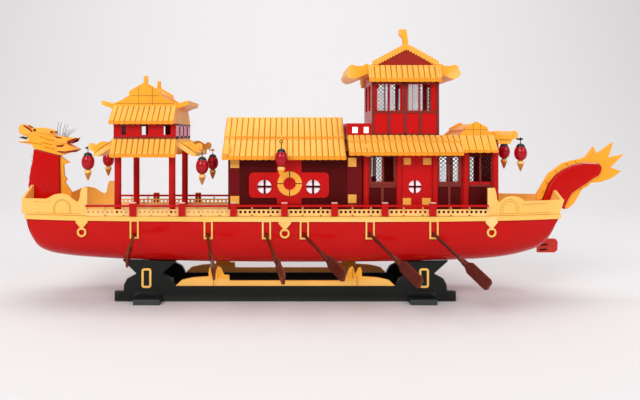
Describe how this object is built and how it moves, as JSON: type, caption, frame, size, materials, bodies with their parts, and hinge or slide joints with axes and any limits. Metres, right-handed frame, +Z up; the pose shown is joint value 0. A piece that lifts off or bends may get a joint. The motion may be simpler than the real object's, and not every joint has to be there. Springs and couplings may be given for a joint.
{
  "type": "dragon boat display model on cradle",
  "caption": "Wooden display model of a dragon pleasure boat with pavilions, tower, oars and swinging lanterns, standing on its cradle.",
  "frame": {"origin": "middle of the model's box, on the surface that the cradle stands on", "axes": "+X towards the stern, +Y to starboard, +Z up"},
  "size_m": [0.8008, 0.3106, 0.3445],
  "materials": {
    "hull_red": "gloss red lacquer on wood",
    "trim_red": "red lacquer on wood",
    "panel_red": "bright red lacquer on wood",
    "cabin_maroon": "dark red lacquer on wood",
    "roof_yellow": "yellow paint on carved wood",
    "pale_yellow": "pale yellow satin lacquer on wood",
    "cradle_black": "black semi-gloss lacquer on wood",
    "oar": "dark red-brown varnish on wood",
    "lantern": "glossy red bead, black cap, orange tassel",
    "rudder_red": "orange-red paint on wood"
  },
  "bodies": {
    "boat": {"bow_bulwark": "pale_yellow", "cabin_panel_port": "panel_red", "cabin_panel_starboard": "panel_red", "cabin_roof": "roof_yellow", "cabin_walls": "cabin_maroon", "cradle_beam_aft": "cradle_black", "cradle_beam_fore": "cradle_black", "cradle_fret_port": "roof_yellow", "cradle_fret_starboard": "roof_yellow", "cradle_side_port": "cradle_black", "cradle_side_starboard": "cradle_black", "deck": "pale_yellow", "dragon_head": "roof_yellow", "dragon_neck": "hull_red", "fence_fret_port": "pale_yellow", "fence_fret_starboard": "pale_yellow", "fence_rail_port": "trim_red", "fence_rail_starboard": "trim_red", "front_column_1": "trim_red", "front_column_2": "trim_red", "front_column_3": "trim_red", "front_column_4": "trim_red", "front_lower_roof": "roof_yellow", "front_upper_roof": "roof_yellow", "front_upper_walls": "trim_red", "gunwale_port": "pale_yellow", "gunwale_starboard": "pale_yellow", "hull": "hull_red", "neck_crest": "roof_yellow", "oar_port_1": "oar", "oar_port_2": "oar", "oar_port_3": "oar", "oar_port_4": "oar", "oar_port_5": "oar", "oar_port_6": "oar", "oar_starboard_1": "oar", "oar_starboard_2": "oar", "oar_starboard_3": "oar", "oar_starboard_4": "oar", "oar_starboard_5": "oar", "oar_starboard_6": "oar", "rear_roof": "roof_yellow", "rear_walls": "trim_red", "stern_bulwark": "pale_yellow", "tail_body": "hull_red", "tail_fin": "roof_yellow", "tower_balcony": "trim_red", "tower_lower_roof": "roof_yellow", "tower_lower_walls": "trim_red", "tower_upper_roof": "roof_yellow", "tower_upper_walls": "trim_red"},
    "lantern_cabin_port": {"lantern_cabin_port": "lantern"},
    "lantern_cabin_starboard": {"lantern_cabin_starboard": "lantern"},
    "lantern_front_port": {"lantern_front_port": "lantern"},
    "lantern_front_starboard": {"lantern_front_starboard": "lantern"},
    "lantern_rear_port": {"lantern_rear_port": "lantern"},
    "lantern_rear_starboard": {"lantern_rear_starboard": "lantern"},
    "lantern_waist_port": {"lantern_waist_port": "lantern"},
    "lantern_waist_starboard": {"lantern_waist_starboard": "lantern"},
    "rudder": {"rudder": "rudder_red"}
  },
  "joints": [
    {"name": "lantern_front_port_swing", "type": "hinge", "parent": "boat", "child": "lantern_front_port", "pos_m": [-0.297, -0.042, 0.1945], "axis": [1, 0, 0], "range_deg": [-20, 20]},
    {"name": "lantern_front_starboard_swing", "type": "hinge", "parent": "boat", "child": "lantern_front_starboard", "pos_m": [-0.297, 0.042, 0.1945], "axis": [1, 0, 0], "range_deg": [-20, 20]},
    {"name": "lantern_waist_port_swing", "type": "hinge", "parent": "boat", "child": "lantern_waist_port", "pos_m": [-0.152, -0.05, 0.1895], "axis": [1, 0, 0], "range_deg": [-20, 20]},
    {"name": "lantern_waist_starboard_swing", "type": "hinge", "parent": "boat", "child": "lantern_waist_starboard", "pos_m": [-0.152, 0.05, 0.1895], "axis": [1, 0, 0], "range_deg": [-20, 20]},
    {"name": "lantern_cabin_port_swing", "type": "hinge", "parent": "boat", "child": "lantern_cabin_port", "pos_m": [-0.053, -0.07, 0.203], "axis": [0, 1, 0], "range_deg": [-20, 20]},
    {"name": "lantern_cabin_starboard_swing", "type": "hinge", "parent": "boat", "child": "lantern_cabin_starboard", "pos_m": [-0.053, 0.07, 0.203], "axis": [0, 1, 0], "range_deg": [-20, 20]},
    {"name": "lantern_rear_port_swing", "type": "hinge", "parent": "boat", "child": "lantern_rear_port", "pos_m": [0.2525, -0.03, 0.2055], "axis": [1, 0, 0], "range_deg": [-20, 20]},
    {"name": "lantern_rear_starboard_swing", "type": "hinge", "parent": "boat", "child": "lantern_rear_starboard", "pos_m": [0.2525, 0.03, 0.2055], "axis": [1, 0, 0], "range_deg": [-20, 20]},
    {"name": "rudder_turn", "type": "hinge", "parent": "boat", "child": "rudder", "pos_m": [0.2895, 0, 0.085], "axis": [0, 0, 1], "range_deg": [-35, 35]}
  ]
}
